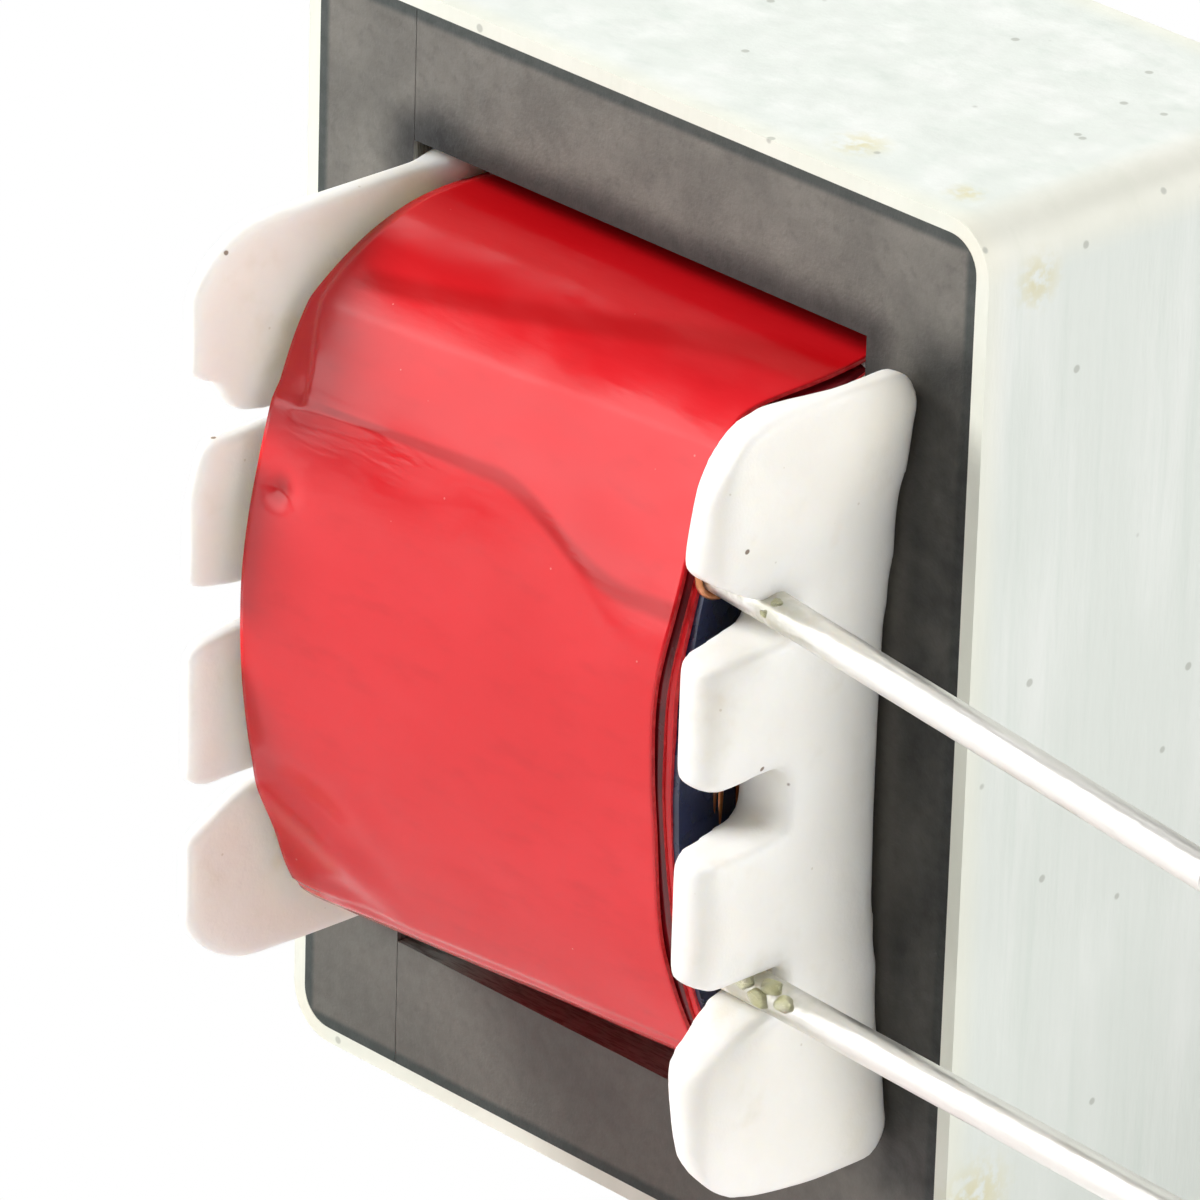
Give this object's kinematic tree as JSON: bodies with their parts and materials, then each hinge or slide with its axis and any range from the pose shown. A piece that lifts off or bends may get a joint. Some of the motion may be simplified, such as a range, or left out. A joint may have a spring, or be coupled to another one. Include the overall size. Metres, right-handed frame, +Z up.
{
  "type": "laminated core board transformer",
  "caption": "Small laminated-core audio transformer for a circuit board, with a white bobbin, a red taped winding and four wire pins.",
  "frame": {"origin": "centre of the underside of the core, on the band under the outer leg that it lies on", "axes": "+X along the bobbin, towards the pins; +Y through the stack of plates, away from the viewer; +Z up, along the long side of the plates"},
  "size_m": [0.0183, 0.0134, 0.0144],
  "materials": {
    "core_steel": "dull oxide",
    "band_metal": "satin",
    "nylon": "satin",
    "copper": "enamelled",
    "clear_film": "glossy",
    "dark_tape": "glossy",
    "red_tape": "glossy",
    "tinned_wire": "bright tin"
  },
  "bodies": {
    "root": {"e_plate_01": "core_steel", "e_plate_02": "core_steel", "e_plate_03": "core_steel", "e_plate_04": "core_steel", "e_plate_05": "core_steel", "e_plate_06": "core_steel", "e_plate_07": "core_steel", "e_plate_08": "core_steel", "e_plate_09": "core_steel", "e_plate_10": "core_steel", "e_plate_11": "core_steel", "e_plate_12": "core_steel", "i_plate_01": "core_steel", "i_plate_02": "core_steel", "i_plate_03": "core_steel", "i_plate_04": "core_steel", "i_plate_05": "core_steel", "i_plate_06": "core_steel", "i_plate_07": "core_steel", "i_plate_08": "core_steel", "i_plate_09": "core_steel", "i_plate_10": "core_steel", "i_plate_11": "core_steel", "i_plate_12": "core_steel", "core_band": "band_metal", "bobbin": "nylon", "primary_winding": "copper", "interlayer": "clear_film", "secondary_winding": "copper", "inner_tape": "dark_tape", "outer_tape": "red_tape", "pin_1": "tinned_wire", "pin_2": "tinned_wire", "pin_3": "tinned_wire", "pin_4": "tinned_wire", "lead_1": "copper", "lead_2": "copper", "lead_3": "copper", "lead_4": "copper"}
  },
  "joints": []
}
